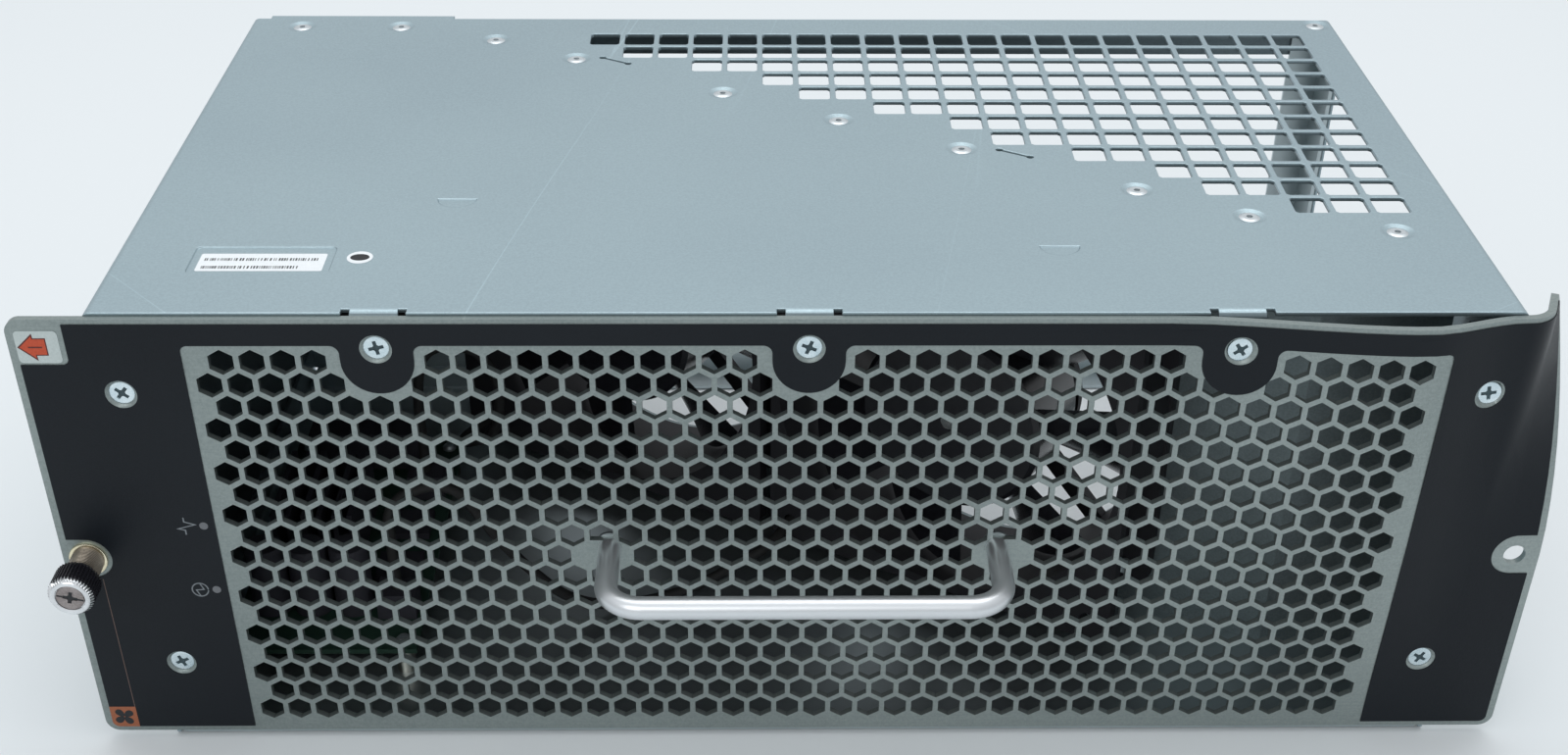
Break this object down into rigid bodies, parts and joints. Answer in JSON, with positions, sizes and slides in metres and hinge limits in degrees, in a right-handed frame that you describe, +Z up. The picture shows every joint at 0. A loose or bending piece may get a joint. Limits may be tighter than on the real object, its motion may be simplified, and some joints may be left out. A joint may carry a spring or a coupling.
{
  "type": "switch fan tray",
  "caption": "Plug-in fan tray for a network switch: grilled front panel with bar handle, folded sheet box, axial fans on a slanted wall and an open plenum.",
  "frame": {"origin": "middle of the footprint, on the underside of the box", "axes": "+X to the right along the front panel, +Y from the panel into the box, +Z up"},
  "size_m": [0.4134, 0.245, 0.1419],
  "materials": {
    "galvanised_panel": "brushed galvanised steel",
    "galvanised_box": "satin galvanised steel, faintly rolled",
    "printed_film": "fine matte printed film",
    "zinc_screw": "bright zinc plating",
    "satin_handle": "satin drawn bar",
    "nickel_plate": "nickel plating",
    "black_knob": "black, fine ribs",
    "spring_steel": "drawn wire",
    "smoked_lens": "smoked clear plastic",
    "rivet_steel": "plated rivet",
    "black_plastic": "moulded, glass filled",
    "impeller_plastic": "moulded, slightly glossy",
    "bearing_steel": "ground steel",
    "core_steel": "stacked laminations",
    "copper_winding": "enamelled wire",
    "magnet": "bonded ferrite",
    "board_laminate": "dark solder mask",
    "board_components": "dark packages and heat sink",
    "lead_sleeve": "black sleeving"
  },
  "bodies": {
    "tray": {"front_panel": "galvanised_panel", "front_film": "printed_film", "panel_screws": "zinc_screw", "handle": "satin_handle", "handle_screws": "zinc_screw", "thumb_ferrule": "nickel_plate", "thumb_spring": "spring_steel", "status_lenses": "smoked_lens", "top_cover": "galvanised_box", "bottom_pan": "galvanised_box", "fan_wall": "galvanised_box", "corner_post": "galvanised_box", "rear_bay": "galvanised_box", "rear_plug": "black_plastic", "plug_screws": "zinc_screw", "top_rivets": "rivet_steel", "bottom_rivets": "rivet_steel", "fan_frame_left": "black_plastic", "fan_frame_right": "black_plastic", "fan_bearings_left": "bearing_steel", "fan_bearings_right": "bearing_steel", "fan_core_left": "core_steel", "fan_core_right": "core_steel", "fan_coils_left": "copper_winding", "fan_coils_right": "copper_winding", "fan_screws": "zinc_screw", "controller_board": "board_laminate", "board_parts": "board_components", "board_standoffs": "nickel_plate", "board_screws": "zinc_screw", "fan_lead_left": "lead_sleeve", "fan_lead_right": "lead_sleeve"},
    "rotor_left": {"impeller_left": "impeller_plastic", "fan_shaft_left": "bearing_steel", "magnet_ring_left": "magnet"},
    "rotor_right": {"impeller_right": "impeller_plastic", "fan_shaft_right": "bearing_steel", "magnet_ring_right": "magnet"},
    "thumb_carrier": {"thumb_washer": "zinc_screw"},
    "thumb_knob": {"thumb_knob": "black_knob", "thumb_screw": "nickel_plate"}
  },
  "joints": [
    {"name": "left_fan_spin", "type": "hinge", "parent": "tray", "child": "rotor_left", "pos_m": [-0.04483, 0.06234, 0.07095], "axis": [0.509, 0.8608, 0], "continuous": true},
    {"name": "right_fan_spin", "type": "hinge", "parent": "tray", "child": "rotor_right", "pos_m": [0.0619, -0.00077, 0.07095], "axis": [0.509, 0.8608, 0], "continuous": true},
    {"name": "captive_screw_press", "type": "slide", "parent": "tray", "child": "thumb_carrier", "axis": [0, 1, 0], "range_m": [0, 0.006], "stiffness_N_per_m": 400, "springref_m": -0.002, "deforming": ["thumb_spring"]},
    {"name": "captive_screw_turn", "type": "hinge", "parent": "thumb_carrier", "child": "thumb_knob", "pos_m": [-0.1996, -0.105, 0.0656], "axis": [0, 1, 0], "continuous": true}
  ]
}
